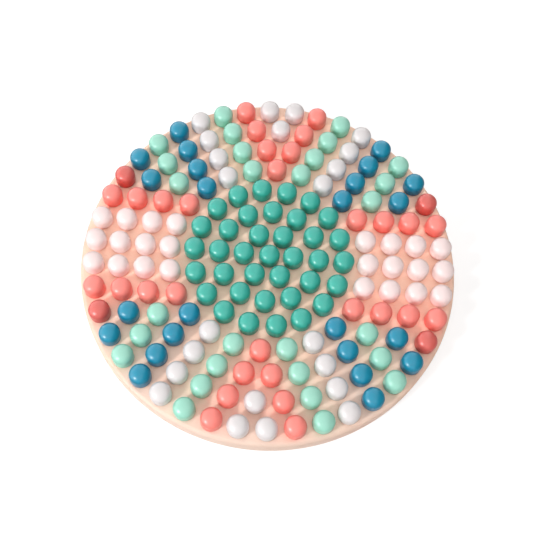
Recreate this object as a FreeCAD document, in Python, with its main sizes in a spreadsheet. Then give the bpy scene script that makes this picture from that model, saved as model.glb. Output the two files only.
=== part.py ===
import FreeCAD, Part
import math
import os
import Sketcher

# Wooden peg mosaic: a round board with blind holes in rings, and a turned peg in every hole.
# The origin is the middle of the board's underside, +Z is up, and the left spoke of the
# pattern points along -X. The back of the pattern is towards +Y.

RINGS = 7
PEGS_PER_RING_STEP = 6
FULL_TURN = 360
LEAD_IN_ANGLE = 90
TOUCHING = 1e-6

doc = FreeCAD.newDocument("PegMosaic")


# Sizes, in millimetres

SIZES = [
    ("head_diameter", "16.5", "widest part of a peg's head"),
    ("head_gap", "3.4", "free space between two heads of neighbouring rings"),
    ("rim_margin", "3.2", "board left outside the outermost heads"),
    ("board_thickness", "17", "thickness of the board"),
    ("top_edge_round", "3.5", "rounding of the board's upper edge"),
    ("bottom_edge_round", "2", "rounding of the board's lower edge"),
    ("hole_floor", "5", "wood left under a blind hole"),
    ("hole_lead_in", "0.6", "chamfer at the mouth of a hole"),
    ("shank_diameter", "6", "thickness of a peg's shank"),
    ("shank_clearance", "0.25", "gap all round a shank in its hole"),
    ("shank_end_gap", "1", "gap between a shank's end and the hole's floor"),
    ("shank_tip_chamfer", "0.8", "chamfer at the shank's end"),
    ("head_height", "15.5", "from the board's top to the crown of a head"),
    ("crown_extra", "4", "how much larger the crown's radius is than the head's"),
    ("shoulder_round", "5", "rounding between the head's side and its crown"),
    ("foot_round", "2", "rounding of the head's lower edge"),
]

DERIVED = [
    ("ring_pitch", "=head_diameter + head_gap", "from one ring to the next"),
    (
        "board_diameter",
        "=2 * (%d * ring_pitch + rim_margin) + head_diameter" % RINGS,
        "across the board",
    ),
    ("hole_diameter", "=shank_diameter + 2 * shank_clearance", "width of a peg hole"),
    ("hole_mouth", "=hole_diameter + 2 * hole_lead_in", "width of a hole's chamfer"),
    ("hole_depth", "=board_thickness - hole_floor", "depth of a peg hole"),
    ("shank_length", "=hole_depth - shank_end_gap", "shank below the head"),
    ("crown_radius", "=head_diameter / 2 + crown_extra", "radius of the head's crown"),
]

sheet = doc.addObject("Spreadsheet::Sheet", "Sizes")
for row, (alias, content, meaning) in enumerate(SIZES + DERIVED, start=1):
    sheet.set("A%d" % row, meaning)
    sheet.set("B%d" % row, content)
    sheet.setAlias("B%d" % row, alias)
doc.recompute()


# Helpers for sketches


def origin_feature(body, role):
    """The body's own origin plane or axis of that role."""
    for feature in body.Origin.OriginFeatures:
        if feature.Role == role:
            return feature
    raise RuntimeError("no origin feature " + role)


def new_body(label):
    body = doc.addObject("PartDesign::Body", label)
    body.Label = label
    return body


def new_sketch(body, name, role):
    sketch = body.newObject("Sketcher::SketchObject", name)
    sketch.AttachmentSupport = (origin_feature(body, role), [""])
    sketch.MapMode = "FlatFace"
    return sketch


def bind(sketch, name, constraint, expression):
    """Add a dimension to a sketch and tie it to the sizes."""
    index = sketch.addConstraint(constraint)
    sketch.renameConstraint(index, name)
    sketch.setExpression("Constraints." + name, expression)


def join_chain(sketch, count):
    """Join each edge's end to the next edge's start, and the last to the first."""
    for index in range(count):
        end_point = (index, 2)
        start_point = ((index + 1) % count, 1)
        sketch.addConstraint(Sketcher.Constraint("Coincident", *end_point, *start_point))


def revolve(body, sketch, name):
    """Turn a section about the sketch's vertical axis."""
    turned = body.newObject("PartDesign::Revolution", name)
    turned.Profile = sketch
    turned.ReferenceAxis = (sketch, ["V_Axis"])
    turned.Angle = FULL_TURN
    sketch.Visibility = False
    body.Tip = turned
    doc.recompute()
    return turned


def line(start, end):
    return Part.LineSegment(FreeCAD.Vector(*start, 0), FreeCAD.Vector(*end, 0))


def arc(centre, radius, start_angle, end_angle):
    """A counter-clockwise arc, with its angles in radians."""
    circle = Part.Circle(FreeCAD.Vector(*centre, 0), FreeCAD.Vector(0, 0, 1), radius)
    return Part.ArcOfCircle(circle, start_angle, end_angle)


# The board


def board_blank(body):
    """A plain turned disc with both edges rounded over."""
    radius = sheet.board_diameter / 2
    thickness = sheet.board_thickness
    corners = [(0, 0), (radius, 0), (radius, thickness), (0, thickness)]
    sketch = new_sketch(body, "board_section", "XZ_Plane")
    for index, corner in enumerate(corners):
        sketch.addGeometry(line(corner, corners[(index + 1) % 4]))
    join_chain(sketch, 4)
    for edge in (0, 2):
        sketch.addConstraint(Sketcher.Constraint("Horizontal", edge))
    for edge in (1, 3):
        sketch.addConstraint(Sketcher.Constraint("Vertical", edge))
    sketch.addConstraint(Sketcher.Constraint("Coincident", 0, 1, -1, 1))
    bind(
        sketch,
        "radius",
        Sketcher.Constraint("DistanceX", 0, 1, 0, 2, radius),
        "Sizes.board_diameter / 2",
    )
    bind(
        sketch,
        "thickness",
        Sketcher.Constraint("DistanceY", 1, 1, 1, 2, thickness),
        "Sizes.board_thickness",
    )
    return revolve(body, sketch, "board_disc")


def rim_edge(shape, height):
    """The name of the circular edge that runs round the rim at this height."""
    rim_radius = sheet.board_diameter / 2
    for index, edge in enumerate(shape.Edges, start=1):
        if not isinstance(edge.Curve, Part.Circle):
            continue
        at_height = abs(edge.Curve.Center.z - height) < TOUCHING
        at_rim = abs(edge.Curve.Radius - rim_radius) < TOUCHING
        if at_height and at_rim:
            return "Edge%d" % index
    raise RuntimeError("no rim edge at height %g" % height)


def round_edge(body, base, height, size, name):
    fillet = body.newObject("PartDesign::Fillet", name)
    fillet.Base = (base, [rim_edge(base.Shape, height)])
    fillet.setExpression("Radius", "Sizes." + size)
    body.Tip = fillet
    doc.recompute()
    return fillet


def drill(body, ring):
    """One blind hole with a chamfered mouth, on the left spoke of a ring."""
    sketch = new_sketch(body, "hole_place_%d" % ring, "XY_Plane")
    sketch.setExpression(".AttachmentOffset.Base.z", "Sizes.board_thickness")
    place = -ring * sheet.ring_pitch
    centre = FreeCAD.Vector(place, 0, 0)
    sketch.addGeometry(Part.Circle(centre, FreeCAD.Vector(0, 0, 1), sheet.hole_diameter / 2))
    if ring == 0:
        sketch.addConstraint(Sketcher.Constraint("Coincident", 0, 3, -1, 1))
    else:
        sketch.addConstraint(Sketcher.Constraint("PointOnObject", 0, 3, -1))
        bind(
            sketch,
            "place",
            Sketcher.Constraint("DistanceX", 0, 3, -1, 1, -place),
            "%d * Sizes.ring_pitch" % ring,
        )
    bind(
        sketch,
        "width",
        Sketcher.Constraint("Diameter", 0, sheet.hole_diameter),
        "Sizes.hole_diameter",
    )
    sketch.Visibility = False
    doc.recompute()
    hole = body.newObject("PartDesign::Hole", "hole_%d" % ring)
    hole.Profile = sketch
    doc.recompute()
    hole.Threaded = False
    hole.DepthType = "Dimension"
    hole.DrillPoint = "Flat"
    hole.HoleCutType = "Countersink"
    hole.HoleCutCustomValues = True
    hole.HoleCutCountersinkAngle = LEAD_IN_ANGLE
    hole.setExpression("Diameter", "Sizes.hole_diameter")
    hole.setExpression("Depth", "Sizes.hole_depth")
    hole.setExpression("HoleCutDiameter", "Sizes.hole_mouth")
    body.Tip = hole
    doc.recompute()
    return hole


def repeat_round(body, hole, ring):
    """Repeat a ring's hole all round the board."""
    pattern = body.newObject("PartDesign::PolarPattern", "hole_ring_%d" % ring)
    pattern.Originals = [hole]
    pattern.Axis = (origin_feature(body, "Z_Axis"), [""])
    pattern.Angle = FULL_TURN
    pattern.Occurrences = PEGS_PER_RING_STEP * ring
    body.Tip = pattern
    doc.recompute()
    return pattern


def make_board():
    body = new_body("board")
    blank = board_blank(body)
    rounded = round_edge(body, blank, sheet.board_thickness, "top_edge_round", "top_edge")
    round_edge(body, rounded, 0, "bottom_edge_round", "bottom_edge")
    for ring in range(RINGS + 1):
        hole = drill(body, ring)
        if ring > 0:
            repeat_round(body, hole, ring)
    return body


# The peg


def peg_section(body):
    """Half of a peg's section: shank, flat underside, round foot, side, shoulder and crown."""
    sketch = new_sketch(body, "peg_section", "XZ_Plane")
    head = sheet.head_diameter / 2
    shank = sheet.shank_diameter / 2
    length = sheet.shank_length
    chamfer = sheet.shank_tip_chamfer
    foot = sheet.foot_round
    shoulder = sheet.shoulder_round
    crown = sheet.crown_radius
    top = sheet.head_height
    inward = head - shoulder
    rise = math.sqrt((crown - shoulder) ** 2 - inward**2)
    side_top = top - crown + rise
    meeting_angle = math.atan2(rise, inward)
    tip_line = sketch.addGeometry(line((0, -length), (shank - chamfer, -length)))
    chamfer_line = sketch.addGeometry(
        line((shank - chamfer, -length), (shank, chamfer - length))
    )
    shank_line = sketch.addGeometry(line((shank, chamfer - length), (shank, 0)))
    under_line = sketch.addGeometry(line((shank, 0), (head - foot, 0)))
    foot_arc = sketch.addGeometry(arc((head - foot, foot), foot, -math.pi / 2, 0))
    side_line = sketch.addGeometry(line((head, foot), (head, side_top)))
    shoulder_arc = sketch.addGeometry(arc((inward, side_top), shoulder, 0, meeting_angle))
    crown_arc = sketch.addGeometry(
        arc((0, top - crown), crown, meeting_angle, math.pi / 2)
    )
    axis_line = sketch.addGeometry(line((0, top), (0, -length)))
    add = sketch.addConstraint
    add(Sketcher.Constraint("Coincident", tip_line, 2, chamfer_line, 1))
    add(Sketcher.Constraint("Coincident", chamfer_line, 2, shank_line, 1))
    add(Sketcher.Constraint("Coincident", shank_line, 2, under_line, 1))
    add(Sketcher.Constraint("Tangent", under_line, 2, foot_arc, 1))
    add(Sketcher.Constraint("Tangent", foot_arc, 2, side_line, 1))
    add(Sketcher.Constraint("Tangent", side_line, 2, shoulder_arc, 1))
    add(Sketcher.Constraint("Tangent", shoulder_arc, 2, crown_arc, 1))
    add(Sketcher.Constraint("Coincident", crown_arc, 2, axis_line, 1))
    add(Sketcher.Constraint("Coincident", axis_line, 2, tip_line, 1))
    add(Sketcher.Constraint("Horizontal", tip_line))
    add(Sketcher.Constraint("Vertical", shank_line))
    add(Sketcher.Constraint("Horizontal", under_line))
    add(Sketcher.Constraint("Vertical", side_line))
    add(Sketcher.Constraint("PointOnObject", axis_line, 1, -2))
    add(Sketcher.Constraint("PointOnObject", axis_line, 2, -2))
    add(Sketcher.Constraint("PointOnObject", crown_arc, 3, -2))
    add(Sketcher.Constraint("PointOnObject", under_line, 1, -1))
    dimensions = [
        ("shank_radius", "DistanceX", (-1, 1, shank_line, 1), shank, "shank_diameter / 2"),
        ("tip_width", "DistanceX", (chamfer_line, 1, chamfer_line, 2), chamfer, "shank_tip_chamfer"),
        ("tip_height", "DistanceY", (chamfer_line, 1, chamfer_line, 2), chamfer, "shank_tip_chamfer"),
        ("shank_length", "DistanceY", (tip_line, 1, -1, 1), length, "shank_length"),
        ("foot_round", "Radius", (foot_arc,), foot, "foot_round"),
        ("head_radius", "DistanceX", (-1, 1, side_line, 2), head, "head_diameter / 2"),
        ("head_height", "DistanceY", (-1, 1, axis_line, 1), top, "head_height"),
        ("shoulder_round", "Radius", (shoulder_arc,), shoulder, "shoulder_round"),
        ("crown_radius", "Radius", (crown_arc,), crown, "crown_radius"),
    ]
    for name, kind, places, value, size in dimensions:
        constraint = Sketcher.Constraint(kind, *places, value)
        bind(sketch, name, constraint, "Sizes." + size)
    return sketch


def make_peg(label):
    """The peg that stands in the middle hole. All the others are the same."""
    body = new_body(label)
    revolve(body, peg_section(body), "peg_turned")
    body.setExpression(".Placement.Base.z", "Sizes.board_thickness")
    return body


# Where the pegs stand
# Ring n has 6 n holes. Steps are counted from the left spoke round by the back,
# so step 0 is on the left, and step 3 n is on the right.
# Every place is a ring and a step.

QUADRANTS = {
    "back_left": (0, 1),
    "back_right": (3, -1),
    "front_left": (0, -1),
    "front_right": (3, 1),
}

QUADRANT_ROWS = {
    "pink_row": [(4, 1), (5, 1), (6, 1), (7, 1)],
    "coral_row": [(4, 2), (5, 2), (6, 2), (7, 2)],
    "dark_red_peg": [(7, 3)],
    "blue_pair": [(6, 3), (7, 4)],
    "mint_short_row": [(5, 3), (6, 4), (7, 5)],
    "blue_row": [(4, 3), (5, 4), (6, 5), (7, 6)],
    "white_row": [(4, 4), (5, 5), (6, 6), (7, 7)],
    "mint_row": [(4, 5), (5, 6), (6, 7), (7, 8)],
    "coral_arm": [(5, 7), (6, 8), (7, 9)],
}

AXIS_ROWS = {
    "pink_inner_pair_left": [(4, 0), (5, 0)],
    "pink_outer_pair_left": [(6, 0), (7, 0)],
    "pink_inner_pair_right": [(4, 12), (5, 15)],
    "pink_outer_pair_right": [(6, 18), (7, 21)],
    "coral_apex_back": [(4, 6)],
    "coral_apex_front": [(4, 18)],
    "white_apex_back": [(6, 9)],
    "white_apex_front": [(6, 27)],
    "white_pair_back": [(7, 10), (7, 11)],
    "white_pair_front": [(7, 31), (7, 32)],
}


def peg_groups():
    """Every group of pegs but the middle one: its name and its places."""
    groups = {}
    for wedge in range(PEGS_PER_RING_STEP):
        groups["green_inner_trio_%d" % (wedge + 1)] = [
            (1, wedge),
            (2, 2 * wedge),
            (2, 2 * wedge + 1),
        ]
        groups["green_outer_trio_%d" % (wedge + 1)] = [
            (3, 3 * wedge + step) for step in range(3)
        ]
    for row, places in QUADRANT_ROWS.items():
        for quadrant, (start, direction) in QUADRANTS.items():
            groups[row + "_" + quadrant] = [
                (ring, start * ring + direction * step) for ring, step in places
            ]
    groups.update(AXIS_ROWS)
    return groups


def place_peg(peg, name, ring, step):
    """One more peg like the middle one, standing in the hole at that ring and step."""
    link = doc.addObject("App::Link", name)
    link.LinkedObject = peg
    turn = FULL_TURN / 2 - FULL_TURN * step / (PEGS_PER_RING_STEP * ring)
    link.setExpression(".Placement.Base.x", "Sizes.ring_pitch * %d * cos(%.10g)" % (ring, turn))
    link.setExpression(".Placement.Base.y", "Sizes.ring_pitch * %d * sin(%.10g)" % (ring, turn))
    link.setExpression(".Placement.Base.z", "Sizes.board_thickness")
    return link


def make_group(peg, label, places):
    """Pegs of one colour that share a file, each a solid of its own."""
    group = doc.addObject("Part::Compound", label)
    group.Label = label
    group.Links = [
        place_peg(peg, "%s_peg_%d" % (label, number), ring, step)
        for number, (ring, step) in enumerate(places, start=1)
    ]
    return group


# The whole toy


def make_all():
    board = make_board()
    middle_peg = make_peg("green_peg_middle")
    parts = [board, middle_peg]
    for label, places in peg_groups().items():
        parts.append(make_group(middle_peg, label, places))
    doc.recompute()
    return parts


def check(parts):
    """Stop before anything is written if an object failed or a shape is unsound."""
    for thing in doc.Objects:
        if "Invalid" in thing.State or "Error" in thing.State:
            raise RuntimeError("%s failed: %s" % (thing.Name, thing.State))
    for part in parts:
        if part.Shape.isNull() or not part.Shape.isValid():
            raise RuntimeError(part.Label + " has no sound shape")


def write(parts):
    os.makedirs("parts", exist_ok=True)
    for part in parts:
        part.Shape.exportStep(os.path.join("parts", part.Label + ".step"))
    pegs = sum(len(part.Shape.Solids) for part in parts) - 1
    print("%d files, %d pegs" % (len(parts), pegs))


all_parts = make_all()
check(all_parts)
write(all_parts)
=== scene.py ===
"""Wooden peg mosaic: a turned board full of lacquered pegs, on a white table."""

import math
import random

import bmesh
import bpy
from bpy.props import FloatProperty, FloatVectorProperty, IntProperty, PointerProperty
from mathutils import Matrix, Vector


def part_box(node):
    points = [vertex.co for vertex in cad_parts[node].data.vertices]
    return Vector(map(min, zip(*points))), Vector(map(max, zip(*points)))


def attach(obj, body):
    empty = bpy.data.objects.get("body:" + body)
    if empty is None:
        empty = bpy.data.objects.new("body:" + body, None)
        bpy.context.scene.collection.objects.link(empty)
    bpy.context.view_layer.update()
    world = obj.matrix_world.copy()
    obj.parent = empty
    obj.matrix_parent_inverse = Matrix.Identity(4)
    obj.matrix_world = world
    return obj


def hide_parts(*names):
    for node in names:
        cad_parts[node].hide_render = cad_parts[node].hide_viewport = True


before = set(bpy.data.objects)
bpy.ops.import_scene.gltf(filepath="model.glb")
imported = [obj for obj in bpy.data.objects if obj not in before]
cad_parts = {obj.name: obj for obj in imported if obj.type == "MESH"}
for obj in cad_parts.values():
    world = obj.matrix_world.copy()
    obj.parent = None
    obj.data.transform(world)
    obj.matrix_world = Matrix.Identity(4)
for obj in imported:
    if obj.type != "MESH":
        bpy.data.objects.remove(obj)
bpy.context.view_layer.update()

bl_info = {
    "name": "Peg mosaic",
    "version": (1, 0, 0),
    "blender": (4, 5, 0),
    "location": "3D View > Sidebar > Peg mosaic",
    "description": "Builds a round peg board, its lacquered pegs and a white table",
    "category": "Object",
}

BOARD_LOW, BOARD_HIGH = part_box("board")
PEG_LOW, PEG_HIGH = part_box("green_peg_middle")

BOARD_RADIUS = min(-BOARD_LOW.x, BOARD_HIGH.x)
BOARD_TOP = BOARD_HIGH.z
HEAD_RADIUS = (PEG_HIGH.x - PEG_LOW.x) / 2
HEAD_HEIGHT = PEG_HIGH.z - BOARD_TOP
SHANK_LENGTH = BOARD_TOP - PEG_LOW.z

MM = 0.001

# How the names of the peg nodes start, and the paint that each of them has

PAINTS = {
    "green": "green",
    "mint": "mint",
    "blue": "blue",
    "coral": "coral",
    "dark_red": "red",
    "white": "white",
    "pink": "pink",
}

# How finely round edges are divided, and the angle past which an edge stays hard

TOP_EDGE_STEPS = 8
BOTTOM_EDGE_STEPS = 6
FOOT_STEPS = 6
SHOULDER_STEPS = 7
CROWN_STEPS = 5
BOARD_HARD_ANGLE = math.radians(35)
PEG_HARD_ANGLE = math.radians(50)

# How far below its top a peg's crown is looked for, and how near its doubles lie

CROWN_DEPTH = 0.5 * MM
MERGE_DISTANCE = 0.001 * MM

# The least share of the spread in height by which every peg is lower

LEAST_LOW = 0.6

# The wood's figure: its turn from the X axis, the phase of its bands per metre, and how
# much noise adds to that phase

GRAIN_TURN = math.radians(8)
BANDS_ACROSS = 124
BANDS_UPWARD = 50
BAND_WANDER = 6.4

# The noise of the wood's wander, fibres, flecks and clouds: how fine it is along and across
# the grain, between which of its levels a mark grows, and how much it and the bands darken
# the wood

WANDER_SCALE = (4, 12, 12)
FIBRE_SCALE = (45, 1400, 1400)
FIBRE_LEVELS = (0.42, 0.72)
FLECK_SCALE = (260, 2600, 2600)
FLECK_LEVELS = (0.66, 0.74)
CLOUD_SCALE = 14
CLOUD_LEVELS = (0.35, 0.65)
BAND_DARKNESS = 0.16
FIBRE_DARKNESS = 0.20
FLECK_DARKNESS = 0.30
CLOUD_DARKNESS = (-0.04, 0.10)

# Where along Y the painted shade at the front is full and where it starts, and the wood's
# surface

FRONT_SHADE_PLACES = (-0.15, -0.05)
WOOD_ROUGHNESS = 0.52
FIBRE_ROUGHNESS = 0.10
FIBRE_RELIEF = 0.6
FLECK_RELIEF = 0.8
WOOD_BUMP = 0.35
WOOD_BUMP_DEPTH = 0.06 * MM
WOOD_GLOSS = 0.2

# The lacquer's painted shading: between which heights above the board the side gives way to the
# crown and the foot to the side, how strong and how deep the side's painted shading (lighter on
# pale paints, deeper on dark ones) and the foot's painted shade are, how pale they get at most,
# and the gamma of the spots where any coat is thicker or thinner

CROWN_HEIGHTS = (6 * MM, 15 * MM)
FOOT_SHADE_HEIGHTS = (0.5 * MM, 4.2 * MM)
SIDE_SHADING = (1.19, 1.32)
FOOT_SHADE = (1.25, 3.2)
PALEST_PAINT = 0.975
THICKER_GAMMA = 1.16
THINNER_GAMMA = 0.86

# The noise of the lacquer's mottle, brush marks and peel, how much it and each peg's own
# tint change the shade, and the lacquer's surface

MOTTLE_SCALE = 420
MOTTLE_LEVELS = (0.3, 0.7)
BRUSH_SCALE = (1500, 1500, 90)
BRUSH_LEVELS = (0.35, 0.65)
PEEL_SCALE = 1100
MOTTLE_SHADE = (-0.05, 0.05)
BRUSH_SHADE = (-0.03, 0.03)
PEG_SHADE = 0.10
MOTTLE_RELIEF = 0.4
BRUSH_RELIEF = 0.25
PEEL_RELIEF = 0.5
LACQUER_BUMP = 0.30
LACQUER_BUMP_DEPTH = 0.08 * MM
LACQUER_ROUGHNESS = (0.28, 0.34)
LACQUER_GLOSS = 0.25

# The table: half its width in metres, how white it is to the lights, how much of its lit
# surface the camera sees, where along Y its glow changes from front to back, which at the
# back is painted light over the table's shadow, how far from the toy more glow is added,
# and how much

TABLE_HALF_WIDTH = 6
TABLE_WHITE = 0.80
TABLE_SEEN = 0.42
SHADOW_LIFT_PLACES = (0.0, 0.12)
FAR_GLOW_PLACES = (0.22, 0.45)
FAR_GLOW = 0.4

# Where the lights stand, and how wide they are, in metres

LAMP_PLACE = (-1.065, -0.99, 1.109)
LAMP_SIZE = 0.18
CARD_PLACE = (-0.72, -0.67, 0.70)
CARD_SIZE = 0.22
FRONT_LIGHT_PLACE = (0, -0.7, 1.75)
BACK_LIGHT_PLACE = (0, 0.6, 1.75)
SOFT_LIGHT_SIZE = 1.3

# The room as the lacquer mirrors it, by direction: between which parts along X its walls
# grow dim, and between which parts along Y they rise towards the back, and by how much

WALL_EDGE = (0.3, 0.55)
LEFT_WALL_EDGE = (-0.8, -0.3)
BACK_WALL_EDGE = (0.3, 0.9)
BACK_WALL_RISE = 1.3

# The width of the camera's sensor, in millimetres

SENSOR_WIDTH = 36


# Sizes and colours that a user would change


class BoardSettings(bpy.types.PropertyGroup):
    """Sizes and colours of the board."""

    top_round: FloatProperty(
        name="Top edge rounding",
        description="Radius of the board's upper edge",
        default=3.5 * MM,
        unit="LENGTH",
    )
    bottom_round: FloatProperty(
        name="Bottom edge rounding",
        description="Radius of the board's lower edge",
        default=2 * MM,
        unit="LENGTH",
    )
    hole_radius: FloatProperty(
        name="Hole radius",
        description="Radius of a peg hole",
        default=3.25 * MM,
        unit="LENGTH",
    )
    hole_depth: FloatProperty(
        name="Hole depth",
        description="Depth of a blind peg hole",
        default=12 * MM,
        unit="LENGTH",
    )
    lead_in: FloatProperty(
        name="Hole chamfer",
        description="Width of the chamfer at a hole's mouth",
        default=0.6 * MM,
        unit="LENGTH",
    )
    rim_segments: IntProperty(
        name="Rim segments",
        description="Straight steps round the rim",
        default=288,
    )
    hole_segments: IntProperty(
        name="Hole segments",
        description="Straight steps round a hole",
        default=24,
    )
    wood_light: FloatVectorProperty(
        name="Light wood",
        description="Colour of the wood between its fibres",
        subtype="COLOR",
        default=(0.99, 0.70, 0.555),
    )
    wood_dark: FloatVectorProperty(
        name="Dark wood",
        description="Colour of the darker growth bands and fibres",
        subtype="COLOR",
        default=(0.93, 0.53, 0.385),
    )
    # Painted shade: the wood is made darker and less orange at the front, where the lights fall
    # strongest on it
    front_shade: FloatVectorProperty(
        name="Front wood",
        description="What the wood's colour is multiplied by at the front edge",
        subtype="COLOR",
        default=(0.83, 0.92, 0.98),
    )


class PegSettings(bpy.types.PropertyGroup):
    """Sizes and lacquer colours of the pegs."""

    shank_radius: FloatProperty(
        name="Shank radius",
        description="Radius of the shank in its hole",
        default=3 * MM,
        unit="LENGTH",
    )
    tip_chamfer: FloatProperty(
        name="Shank tip",
        description="Width of the chamfer at the shank's end",
        default=0.8 * MM,
        unit="LENGTH",
    )
    foot_round: FloatProperty(
        name="Foot rounding",
        description="Radius of the head's lower edge",
        default=2.4 * MM,
        unit="LENGTH",
    )
    shoulder_round: FloatProperty(
        name="Shoulder rounding",
        description="Radius between the head's straight side and its crown",
        default=5.5 * MM,
        unit="LENGTH",
    )
    crown_extra: FloatProperty(
        name="Crown flattening",
        description="How much larger the crown's radius is than the head's",
        default=4 * MM,
        unit="LENGTH",
    )
    segments: IntProperty(
        name="Head segments",
        description="Straight steps round a head",
        default=40,
    )
    seed: IntProperty(
        name="Seed",
        description="Start of the random lean, turn and size of each peg",
        default=7,
    )
    lean: FloatProperty(
        name="Lean",
        description="Most that a loose peg leans in its hole",
        default=math.radians(2.5),
        subtype="ANGLE",
    )
    size_spread: FloatProperty(
        name="Size spread",
        description="How much narrower than full size a turned head may be",
        default=0.012,
    )
    height_spread: FloatProperty(
        name="Height spread",
        description="How much lower than full height a turned head may be",
        default=0.03,
    )
    green: FloatVectorProperty(
        name="Green", description="Green lacquer", subtype="COLOR",
        default=(0.045, 0.405, 0.332),
    )
    mint: FloatVectorProperty(
        name="Mint", description="Mint lacquer", subtype="COLOR",
        default=(0.332, 0.675, 0.552),
    )
    blue: FloatVectorProperty(
        name="Blue", description="Blue lacquer", subtype="COLOR",
        default=(0.009, 0.238, 0.370),
    )
    coral: FloatVectorProperty(
        name="Coral", description="Coral lacquer", subtype="COLOR",
        default=(0.945, 0.262, 0.225),
    )
    red: FloatVectorProperty(
        name="Red", description="Dark red lacquer", subtype="COLOR",
        default=(0.655, 0.130, 0.111),
    )
    white: FloatVectorProperty(
        name="White", description="Cool white lacquer", subtype="COLOR",
        default=(0.725, 0.700, 0.706),
    )
    pink: FloatVectorProperty(
        name="Pink", description="Pale pink lacquer", subtype="COLOR",
        default=(0.905, 0.748, 0.738),
    )


class StageSettings(bpy.types.PropertyGroup):
    """The camera, the lights and the table."""

    azimuth: FloatProperty(
        name="Azimuth",
        description="Camera's turn round the board, from the front",
        default=math.radians(2.17),
        subtype="ANGLE",
    )
    elevation: FloatProperty(
        name="Elevation",
        description="Camera's angle above the table",
        default=math.radians(65.86),
        subtype="ANGLE",
    )
    roll: FloatProperty(
        name="Roll",
        description="Camera's turn about its own line of sight",
        default=math.radians(3.42),
        subtype="ANGLE",
    )
    distance: FloatProperty(
        name="Distance",
        description="From the camera to the plane it looks at",
        default=615.6 * MM,
        unit="LENGTH",
    )
    side_shift: FloatProperty(
        name="Side shift",
        description="Camera's move to its right",
        default=-11.9 * MM,
        unit="LENGTH",
    )
    up_shift: FloatProperty(
        name="Up shift",
        description="Camera's move to its top",
        default=-12.8 * MM,
        unit="LENGTH",
    )
    lens: FloatProperty(
        name="Lens",
        description="Focal length on a 36 mm wide sensor, in millimetres",
        default=49.9,
    )
    frame_shift: FloatProperty(
        name="Frame shift",
        description="Sideways shift of the picture, as a share of its width",
        default=0.0386,
    )
    lamp_power: FloatProperty(
        name="Lamp power",
        description="Power of the small low lamp at the front left, in watts",
        default=16.4,
    )
    card_power: FloatProperty(
        name="Card power",
        description="Power of the small card that only shines in the lacquer, in watts",
        default=20.0,
    )
    front_power: FloatProperty(
        name="Front light power",
        description="Power of the broad soft light above the board's front, in watts",
        default=12.0,
    )
    back_power: FloatProperty(
        name="Back light power",
        description="Power of the broad soft light above the board's back, in watts",
        default=6.0,
    )
    sky: FloatProperty(
        name="Room light",
        description="Strength with which the room round the table lights the toy",
        default=0.3,
    )
    sky_tint: FloatVectorProperty(
        name="Room tint",
        description="Colour of the room's light on the toy",
        subtype="COLOR",
        default=(1.0, 0.91, 0.86),
    )
    sheen: FloatProperty(
        name="Sheen",
        description="Strength of the room as the lacquer mirrors it, apart from its right side",
        default=4.1,
    )
    left_sheen: FloatProperty(
        name="Left sheen",
        description="Strength that the room's left side has besides, as the lacquer mirrors it",
        default=3.8,
    )
    front_glow: FloatProperty(
        name="Table white at the front",
        description="White that the camera sees at the table's front besides its lit surface",
        default=0.655,
    )
    # Painted light: the higher white at the back is laid over the table's shadow, so the shadow
    # shows only at the front
    back_shadow_lift: FloatProperty(
        name="Table white at the back",
        description="White that the camera sees at the table's back besides its lit surface",
        default=0.77,
    )


# Shader values as Python expressions


class Value:
    """One socket of a node tree. Arithmetic on values adds Math nodes."""

    def __init__(self, tree, socket):
        self.tree = tree
        self.socket = socket

    def calculate(self, operation, first, second):
        return self.tree.node(
            "ShaderNodeMath", {"operation": operation}, {0: first, 1: second}
        )

    def __add__(self, other):
        return self.calculate("ADD", self, other)

    def __radd__(self, other):
        return self.calculate("ADD", other, self)

    def __sub__(self, other):
        return self.calculate("SUBTRACT", self, other)

    def __rsub__(self, other):
        return self.calculate("SUBTRACT", other, self)

    def __mul__(self, other):
        return self.calculate("MULTIPLY", self, other)

    def __rmul__(self, other):
        return self.calculate("MULTIPLY", other, self)


class Tree:
    """A node tree, built one node at a time."""

    def __init__(self, owner):
        owner.use_nodes = True
        self.nodes = owner.node_tree.nodes
        self.links = owner.node_tree.links
        self.nodes.clear()

    def node(self, kind, settings=None, inputs=None, output=0):
        """Add a node: first its settings, then the values or links of its sockets."""
        made = self.nodes.new(kind)
        for name, setting in (settings or {}).items():
            setattr(made, name, setting)
        for place, given in (inputs or {}).items():
            if isinstance(given, Value):
                self.links.new(given.socket, made.inputs[place])
            else:
                made.inputs[place].default_value = given
        return Value(self, made.outputs[output]) if len(made.outputs) else made

    def mix(self, share, first, second, blend="MIX"):
        """Mix two colours. A colour is three numbers or a value."""
        sides = [c if isinstance(c, Value) else (*c, 1.0) for c in (first, second)]
        return self.node(
            "ShaderNodeMix",
            {"data_type": "RGBA", "blend_type": blend},
            {0: share, 6: sides[0], 7: sides[1]},
            output=2,
        )

    def noise(self, vector, scale=1.0, detail=2.0, roughness=0.5):
        return self.node(
            "ShaderNodeTexNoise",
            {},
            {"Vector": vector, "Scale": scale, "Detail": detail, "Roughness": roughness},
        )

    def mapping(self, vector, scale=(1, 1, 1), rotation=(0, 0, 0)):
        return self.node(
            "ShaderNodeMapping", {}, {"Vector": vector, "Rotation": rotation, "Scale": scale}
        )

    def spread(self, value, low, high, to_low=0.0, to_high=1.0):
        """Map a stretch of a value to another, and hold it at the ends."""
        return self.node(
            "ShaderNodeMapRange",
            {"clamp": True},
            {0: value, 1: low, 2: high, 3: to_low, 4: to_high},
        )

    def object_place(self):
        return self.node("ShaderNodeTexCoord", output="Object")

    def part(self, vector, number):
        """One part of a vector: 0 for X, 1 for Y, 2 for Z."""
        return self.node("ShaderNodeSeparateXYZ", {}, {0: vector}, output=number)

    def light_path(self, name):
        return self.node("ShaderNodeLightPath", output=name)

    def bump(self, height, strength, distance):
        return self.node(
            "ShaderNodeBump",
            {},
            {"Height": height, "Strength": strength, "Distance": distance},
        )


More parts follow.
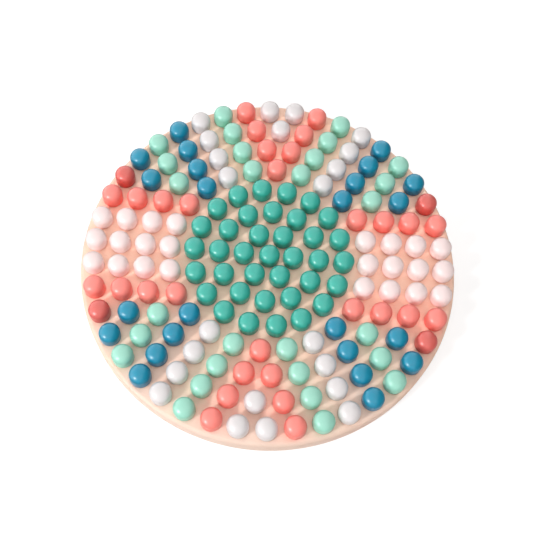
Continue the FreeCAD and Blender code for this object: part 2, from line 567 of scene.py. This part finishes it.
def finish_material(tree, inputs):
    """Close a material with one surface shader."""
    shader = tree.node("ShaderNodeBsdfPrincipled", {}, inputs)
    tree.node("ShaderNodeOutputMaterial", {}, {"Surface": shader})


# Materials


def beech_material(settings):
    """Pale sanded wood: growth bands, fine fibres and dark flecks, with painted shade that
    makes it darker at the front.
    """
    material = bpy.data.materials.new("sanded_beech")
    tree = Tree(material)
    place = tree.object_place()
    along = tree.mapping(place, rotation=(0, 0, GRAIN_TURN))
    wander = tree.noise(tree.mapping(along, scale=WANDER_SCALE))
    across = tree.part(along, 1)
    upward = tree.part(along, 2)
    bands = across * BANDS_ACROSS + upward * BANDS_UPWARD + wander * BAND_WANDER
    band_wave = tree.node("ShaderNodeMath", {"operation": "SINE"}, {0: bands})
    band_share = tree.spread(band_wave, -1.0, 1.0)
    fibres = tree.noise(tree.mapping(along, scale=FIBRE_SCALE), detail=3.0, roughness=0.6)
    fibre_share = tree.spread(fibres, *FIBRE_LEVELS)
    flecks = tree.noise(tree.mapping(along, scale=FLECK_SCALE), detail=1.0, roughness=0.4)
    fleck_share = tree.spread(flecks, *FLECK_LEVELS)
    clouds = tree.noise(place, CLOUD_SCALE)
    dark_share = band_share * BAND_DARKNESS + fibre_share * FIBRE_DARKNESS
    dark_share = dark_share + fleck_share * FLECK_DARKNESS
    dark_share = dark_share + tree.spread(clouds, *CLOUD_LEVELS, *CLOUD_DARKNESS)
    wood = tree.mix(dark_share, settings.wood_light, settings.wood_dark)
    # Painted shade at the board's front
    front_share = tree.spread(tree.part(place, 1), *FRONT_SHADE_PLACES, 1.0, 0.0)
    tone = tree.mix(front_share, (1, 1, 1), settings.front_shade)
    height = 1.0 - (fibre_share * FIBRE_RELIEF + fleck_share * FLECK_RELIEF)
    finish_material(
        tree,
        {
            "Base Color": tree.mix(1.0, wood, tone, "MULTIPLY"),
            "Roughness": fibre_share * FIBRE_ROUGHNESS + WOOD_ROUGHNESS,
            "Normal": tree.bump(height, WOOD_BUMP, WOOD_BUMP_DEPTH),
            "Specular IOR Level": WOOD_GLOSS,
        },
    )
    return material


def paint_with_shading(paint, coat):
    """A paint with light or shade painted into it: the same hue, scaled by a strength and
    deepened by a power.
    """
    strength, depth = coat
    return tuple(min(PALEST_PAINT, strength * channel**depth) for channel in paint)


def lacquer_material(name, paint):
    """Lacquer on turned wood: the paint as given on the crown, painted shading on the side, and
    painted shade darkening it round the foot.
    """
    material = bpy.data.materials.new(name)
    tree = Tree(material)
    place = tree.object_place()
    tint = tree.node(
        "ShaderNodeAttribute", {"attribute_name": "peg_tint"}, {}, output="Fac"
    )
    mottle = tree.noise(place, MOTTLE_SCALE, detail=3.0, roughness=0.6)
    brushed = tree.noise(tree.mapping(place, scale=BRUSH_SCALE))
    peel = tree.noise(place, PEEL_SCALE)
    shade = tree.spread(mottle, *MOTTLE_LEVELS, *MOTTLE_SHADE)
    shade = shade + tree.spread(brushed, *BRUSH_LEVELS, *BRUSH_SHADE)
    shade = shade + (tint - 0.5) * PEG_SHADE
    height = tree.part(place, 2) - BOARD_TOP
    crown_share = tree.spread(height, *CROWN_HEIGHTS)
    # Painted shading: the side is lighter than the crown on pale paints and deeper on dark
    # ones, for how the light falls on it
    painted = tree.mix(crown_share, paint_with_shading(paint, SIDE_SHADING), paint)
    side_share = tree.spread(height, *FOOT_SHADE_HEIGHTS)
    # Painted shade: the paint darkens round the foot, where the shade under the head falls
    painted = tree.mix(side_share, paint_with_shading(paint, FOOT_SHADE), painted)
    thicker = tree.node("ShaderNodeGamma", {}, {"Color": painted, "Gamma": THICKER_GAMMA})
    thinner = tree.node("ShaderNodeGamma", {}, {"Color": painted, "Gamma": THINNER_GAMMA})
    relief = mottle * MOTTLE_RELIEF + brushed * BRUSH_RELIEF + peel * PEEL_RELIEF
    finish_material(
        tree,
        {
            "Base Color": tree.mix(shade + 0.5, thicker, thinner),
            "Roughness": tree.spread(mottle, *MOTTLE_LEVELS, *LACQUER_ROUGHNESS),
            "Normal": tree.bump(relief, LACQUER_BUMP, LACQUER_BUMP_DEPTH),
            "Specular IOR Level": LACQUER_GLOSS,
        },
    )
    return material


def table_material(front_glow, back_shadow_lift):
    """White table. The camera sees it lifted to plain white, with the shadow left on it at the
    front; at the back, painted light lifts the shadow away.
    """
    material = bpy.data.materials.new("white_table")
    tree = Tree(material)
    lit = tree.node("ShaderNodeBsdfDiffuse", {}, {"Color": (*[TABLE_WHITE] * 3, 1)})
    dimmed = tree.node("ShaderNodeBsdfDiffuse", {}, {"Color": (*[TABLE_SEEN] * 3, 1)})
    place = tree.object_place()
    distance = tree.node(
        "ShaderNodeVectorMath", {"operation": "LENGTH"}, {0: place}, output="Value"
    )
    # Painted light: more white towards the back, over the table's shadow there
    glow = tree.spread(tree.part(place, 1), *SHADOW_LIFT_PLACES, front_glow, back_shadow_lift)
    glow = glow + tree.spread(distance, *FAR_GLOW_PLACES, 0.0, FAR_GLOW)
    lift = tree.node("ShaderNodeEmission", {}, {"Color": glow, "Strength": 1.0})
    seen = tree.node("ShaderNodeAddShader", {}, {0: dimmed, 1: lift})
    camera_ray = tree.light_path("Is Camera Ray")
    surface = tree.node("ShaderNodeMixShader", {}, {0: camera_ray, 1: lit, 2: seen})
    tree.node("ShaderNodeOutputMaterial", {}, {"Surface": surface})
    return material


# Meshes


def arc_points(centre, radius, start, end, steps):
    """Points on an arc in the section plane, as distance from the axis and height."""
    across, up = centre
    angles = [start + (end - start) * step / steps for step in range(steps + 1)]
    return [(across + radius * math.cos(a), up + radius * math.sin(a)) for a in angles]


def finish_mesh(bm, name, material, hard_angle):
    """Turn a bmesh into an object with smooth faces and hard edges past an angle."""
    bmesh.ops.recalc_face_normals(bm, faces=bm.faces)
    mesh = bpy.data.meshes.new(name)
    bm.to_mesh(mesh)
    bm.free()
    mesh.shade_smooth()
    mesh.set_sharp_from_angle(angle=hard_angle)
    mesh.materials.append(material)
    made = bpy.data.objects.new(name, mesh)
    bpy.context.scene.collection.objects.link(made)
    return made


def peg_places(node):
    """Where the pegs of a CAD node stand: the crown of each head, seen from above."""
    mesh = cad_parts[node].data
    crown_height = PEG_HIGH.z - CROWN_DEPTH
    crowns = [vert.co for vert in mesh.vertices if vert.co.z > crown_height]
    crowns.sort(key=lambda place: -place.z)
    found = []
    for place in crowns:
        near = any((place.xy - other).length < HEAD_RADIUS for other in found)
        if not near:
            found.append(place.xy.copy())
    return sorted(found, key=lambda place: (place.x, place.y))


def move_rings(verts, places, radius_change, drop):
    """Move the rings round the holes out from their own middles, and down."""
    for vert in verts:
        middle = min(places, key=lambda place: (vert.co.xy - place).length_squared)
        outward = (vert.co.xy - middle).normalized()
        vert.co.xy += outward * radius_change
        vert.co.z -= drop


def ring(bm, segments, radius, place=(0, 0)):
    """A circle of open edges at a place, given as its edges."""
    verts = bmesh.ops.create_circle(
        bm,
        cap_ends=False,
        segments=segments,
        radius=radius,
        matrix=Matrix.Translation((*place, 0)),
    )["verts"]
    return list({edge for vert in verts for edge in vert.link_edges})


def extrude(bm, edges):
    """Extrude open edges, and give the new edges and the new vertices."""
    grown = bmesh.ops.extrude_edge_only(bm, edges=edges)["geom"]
    new_verts = [item for item in grown if isinstance(item, bmesh.types.BMVert)]
    grown_edges = [item for item in grown if isinstance(item, bmesh.types.BMEdge)]
    new_edges = [edge for edge in grown_edges if set(edge.verts) <= set(new_verts)]
    return new_edges, new_verts


def board_mesh(settings, places):
    """A disc with rounded edges and a blind, chamfered hole at each place."""
    bm = bmesh.new()
    top_radius = BOARD_RADIUS - settings.top_round
    mouth_radius = settings.hole_radius + settings.lead_in
    rim = ring(bm, settings.rim_segments, top_radius)
    mouths = []
    for place in places:
        mouths += ring(bm, settings.hole_segments, mouth_radius, place)
    bmesh.ops.translate(bm, verts=bm.verts, vec=(0, 0, BOARD_TOP))
    bmesh.ops.triangle_fill(bm, use_beauty=True, use_dissolve=False, edges=bm.edges)
    chamfer, verts = extrude(bm, mouths)
    move_rings(verts, places, -settings.lead_in, settings.lead_in)
    wall, verts = extrude(bm, chamfer)
    bmesh.ops.translate(bm, verts=verts, vec=(0, 0, settings.lead_in - settings.hole_depth))
    bmesh.ops.edgeloop_fill(bm, edges=wall)
    profile = arc_points(
        (top_radius, BOARD_TOP - settings.top_round),
        settings.top_round, math.pi / 2, 0, TOP_EDGE_STEPS,
    )[1:]
    profile += arc_points(
        (BOARD_RADIUS - settings.bottom_round, settings.bottom_round),
        settings.bottom_round, 0, -math.pi / 2, BOTTOM_EDGE_STEPS,
    )
    edges = rim
    radius = top_radius
    for next_radius, height in profile:
        edges, verts = extrude(bm, edges)
        share = next_radius / radius
        bmesh.ops.scale(bm, verts=verts, vec=(share, share, 1))
        bmesh.ops.translate(bm, verts=verts, vec=(0, 0, height - verts[0].co.z))
        radius = next_radius
    bmesh.ops.edgeloop_fill(bm, edges=edges)
    return bm


def peg_profile(settings):
    """Half of a peg's section from the shank's tip to the crown, with the head's foot at 0."""
    shank = settings.shank_radius
    tip = settings.tip_chamfer
    foot = settings.foot_round
    shoulder = settings.shoulder_round
    crown = HEAD_RADIUS + settings.crown_extra
    inward = HEAD_RADIUS - shoulder
    rise = math.sqrt((crown - shoulder) ** 2 - inward**2)
    side_top = HEAD_HEIGHT - crown + rise
    meeting = math.atan2(rise, inward)
    points = [
        (0.0, -SHANK_LENGTH),
        (shank - tip, -SHANK_LENGTH),
        (shank, tip - SHANK_LENGTH),
        (shank, 0.0),
    ]
    crown_centre = (0, HEAD_HEIGHT - crown)
    points += arc_points((HEAD_RADIUS - foot, foot), foot, -math.pi / 2, 0, FOOT_STEPS)
    points += arc_points((inward, side_top), shoulder, 0, meeting, SHOULDER_STEPS)
    points += arc_points(crown_centre, crown, meeting, math.pi / 2, CROWN_STEPS)[1:]
    return points


def unit_peg(settings):
    """One peg about the Z axis, spun from its section, as a mesh to copy."""
    bm = bmesh.new()
    verts = [bm.verts.new((x, 0, z)) for x, z in peg_profile(settings)]
    edges = [bm.edges.new(pair) for pair in zip(verts, verts[1:])]
    bmesh.ops.spin(
        bm,
        geom=verts + edges,
        cent=(0, 0, 0),
        axis=(0, 0, 1),
        angle=2 * math.pi,
        steps=settings.segments,
        use_merge=True,
    )
    bmesh.ops.remove_doubles(bm, verts=bm.verts, dist=MERGE_DISTANCE)
    bmesh.ops.recalc_face_normals(bm, faces=bm.faces)
    mesh = bpy.data.meshes.new("unit_peg")
    bm.to_mesh(mesh)
    bm.free()
    return mesh


def loose_peg(settings, place, chance):
    """How one peg stands in its hole: turned, a little smaller, and leaning on its foot."""
    turn = Matrix.Rotation(chance.uniform(0, 2 * math.pi), 4, "Z")
    small = 1 - settings.size_spread * chance.random()
    low = 1 - settings.height_spread * chance.uniform(LEAST_LOW, 1)
    size = Matrix.Diagonal((small, small, low, 1))
    lean = settings.lean * math.sqrt(chance.random())
    way = chance.uniform(0, 2 * math.pi)
    tilt = Matrix.Rotation(lean, 4, Vector((math.cos(way), math.sin(way), 0)))
    middle = Matrix.Translation((0, 0, -SHANK_LENGTH / 2))
    lift = (HEAD_RADIUS - settings.foot_round) * math.sin(lean)
    stand = Matrix.Translation((*place, BOARD_TOP + lift))
    return stand @ middle @ tilt @ middle.inverted() @ turn @ size


def group_mesh(settings, unit, places, chance):
    """Several pegs in one mesh, each with a tint number of its own."""
    bm = bmesh.new()
    tint = bm.verts.layers.float.new("peg_tint")
    for place in places:
        first = len(bm.verts)
        bm.from_mesh(unit)
        bm.verts.ensure_lookup_table()
        added = bm.verts[first:]
        bmesh.ops.transform(bm, matrix=loose_peg(settings, place, chance), verts=added)
        number = chance.random()
        for vert in added:
            vert[tint] = number
    return bm


# Operators


def peg_nodes(colour):
    """The CAD nodes that hold pegs of one colour."""
    return [node for node in sorted(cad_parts) if node.startswith(colour + "_")]


class PEGMOSAIC_OT_board(bpy.types.Operator):
    """Build the wooden board with its rounded edges and blind holes."""

    bl_idname = "pegmosaic.board"
    bl_label = "Build the board"

    def execute(self, context):
        settings = context.scene.peg_mosaic_board
        places = []
        for colour in PAINTS:
            for node in peg_nodes(colour):
                places += peg_places(node)
        bm = board_mesh(settings, places)
        board = finish_mesh(bm, "beech_board", beech_material(settings), BOARD_HARD_ANGLE)
        board.modifiers.new("even_normals", "WEIGHTED_NORMAL").keep_sharp = True
        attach(board, "board")
        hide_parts("board")
        return {"FINISHED"}


class PEGMOSAIC_OT_pegs(bpy.types.Operator):
    """Build every group of pegs and lacquer it."""

    bl_idname = "pegmosaic.pegs"
    bl_label = "Build the pegs"

    def execute(self, context):
        settings = context.scene.peg_mosaic_pegs
        unit = unit_peg(settings)
        chance = random.Random(settings.seed)
        for colour, paint in PAINTS.items():
            lacquer = paint + "_lacquer"
            material = lacquer_material(lacquer, getattr(settings, paint))
            for node in peg_nodes(colour):
                bm = group_mesh(settings, unit, peg_places(node), chance)
                pegs = finish_mesh(bm, node + "_turned", material, PEG_HARD_ANGLE)
                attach(pegs, node)
                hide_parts(node)
        bpy.data.meshes.remove(unit)
        return {"FINISHED"}


def add_camera(settings):
    """The camera at the photograph's angle, a little rolled about its line of sight."""
    azimuth, elevation, roll = settings.azimuth, settings.elevation, settings.roll
    back = Vector((
        math.sin(azimuth) * math.cos(elevation),
        -math.cos(azimuth) * math.cos(elevation),
        math.sin(elevation),
    ))
    right = Vector((math.cos(azimuth), math.sin(azimuth), 0))
    up = back.cross(right)
    turned_right = math.cos(roll) * right + math.sin(roll) * up
    turned_up = math.cos(roll) * up - math.sin(roll) * right
    place = (
        Vector((0, 0, BOARD_TOP))
        + settings.distance * back
        + settings.side_shift * turned_right
        + settings.up_shift * turned_up
    )
    data = bpy.data.cameras.new("camera")
    data.sensor_width = SENSOR_WIDTH
    data.lens = settings.lens
    data.shift_x = settings.frame_shift
    camera = bpy.data.objects.new("camera", data)
    camera.matrix_world = Matrix.Translation(place) @ Matrix(
        (turned_right, turned_up, back)
    ).transposed().to_4x4()
    bpy.context.scene.collection.objects.link(camera)
    bpy.context.scene.camera = camera


def add_light(name, place, size, power, mirrored=False):
    """A square light that faces the board. It lights, or it only shines in the lacquer."""
    data = bpy.data.lights.new(name, "AREA")
    data.size = size
    data.energy = power
    light = bpy.data.objects.new(name, data)
    target = Vector((0, 0, BOARD_TOP))
    light.location = place
    light.visible_diffuse = not mirrored
    light.visible_glossy = mirrored
    light.rotation_euler = (target - Vector(place)).to_track_quat("-Z", "Y").to_euler()
    bpy.context.scene.collection.objects.link(light)


def add_room(settings):
    """A warm white room, which the lacquer mirrors as brighter at the left and the back."""
    world = bpy.data.worlds.new("white_room")
    bpy.context.scene.world = world
    tree = Tree(world)
    seen = tree.light_path("Is Camera Ray")
    mirrored = tree.light_path("Is Glossy Ray")
    direction = tree.node("ShaderNodeTexCoord", output="Generated")
    rightward = tree.part(direction, 0)
    wall = tree.spread(rightward, *WALL_EDGE, settings.sheen, 0.0)
    wall = wall + tree.spread(rightward, *LEFT_WALL_EDGE, settings.left_sheen, 0.0)
    wall = wall * tree.spread(tree.part(direction, 1), *BACK_WALL_EDGE, 1.0, BACK_WALL_RISE)
    dim = settings.sky
    level = seen * (1.0 - dim) + mirrored * (wall - dim) + dim
    colour = tree.mix(seen + mirrored, settings.sky_tint, (1, 1, 1))
    shader = tree.node("ShaderNodeBackground", {}, {"Color": colour, "Strength": level})
    tree.node("ShaderNodeOutputWorld", {}, {"Surface": shader})


class PEGMOSAIC_OT_stage(bpy.types.Operator):
    """Set up the white table, the lights, the room and the camera."""

    bl_idname = "pegmosaic.stage"
    bl_label = "Set the stage"

    def execute(self, context):
        settings = context.scene.peg_mosaic_stage
        bm = bmesh.new()
        bmesh.ops.create_grid(bm, x_segments=1, y_segments=1, size=TABLE_HALF_WIDTH)
        white = table_material(settings.front_glow, settings.back_shadow_lift)
        table = finish_mesh(bm, "table", white, BOARD_HARD_ANGLE)
        add_light("lamp", LAMP_PLACE, LAMP_SIZE, settings.lamp_power)
        add_light("card", CARD_PLACE, CARD_SIZE, settings.card_power, mirrored=True)
        add_light("front_light", FRONT_LIGHT_PLACE, SOFT_LIGHT_SIZE, settings.front_power)
        add_light("back_light", BACK_LIGHT_PLACE, SOFT_LIGHT_SIZE, settings.back_power)
        add_room(settings)
        add_camera(settings)
        context.scene.view_settings.view_transform = "Standard"
        return {"FINISHED"}


class PEGMOSAIC_PT_panel(bpy.types.Panel):
    """Lists the steps that build the toy and its stage."""

    bl_idname = "PEGMOSAIC_PT_panel"
    bl_label = "Peg mosaic"
    bl_space_type = "VIEW_3D"
    bl_region_type = "UI"
    bl_category = "Peg mosaic"

    def draw(self, context):
        for operator in OPERATORS:
            self.layout.operator(operator.bl_idname)


OPERATORS = (PEGMOSAIC_OT_board, PEGMOSAIC_OT_pegs, PEGMOSAIC_OT_stage)
SETTINGS = {
    "peg_mosaic_board": BoardSettings,
    "peg_mosaic_pegs": PegSettings,
    "peg_mosaic_stage": StageSettings,
}
CLASSES = (*SETTINGS.values(), *OPERATORS, PEGMOSAIC_PT_panel)


def register():
    for cls in CLASSES:
        bpy.utils.register_class(cls)
    for name, group in SETTINGS.items():
        setattr(bpy.types.Scene, name, PointerProperty(type=group))


def unregister():
    for name in SETTINGS:
        delattr(bpy.types.Scene, name)
    for cls in reversed(CLASSES):
        bpy.utils.unregister_class(cls)


def main():
    register()
    bpy.ops.pegmosaic.board()
    bpy.ops.pegmosaic.pegs()
    bpy.ops.pegmosaic.stage()


if __name__ == "__main__":
    main()
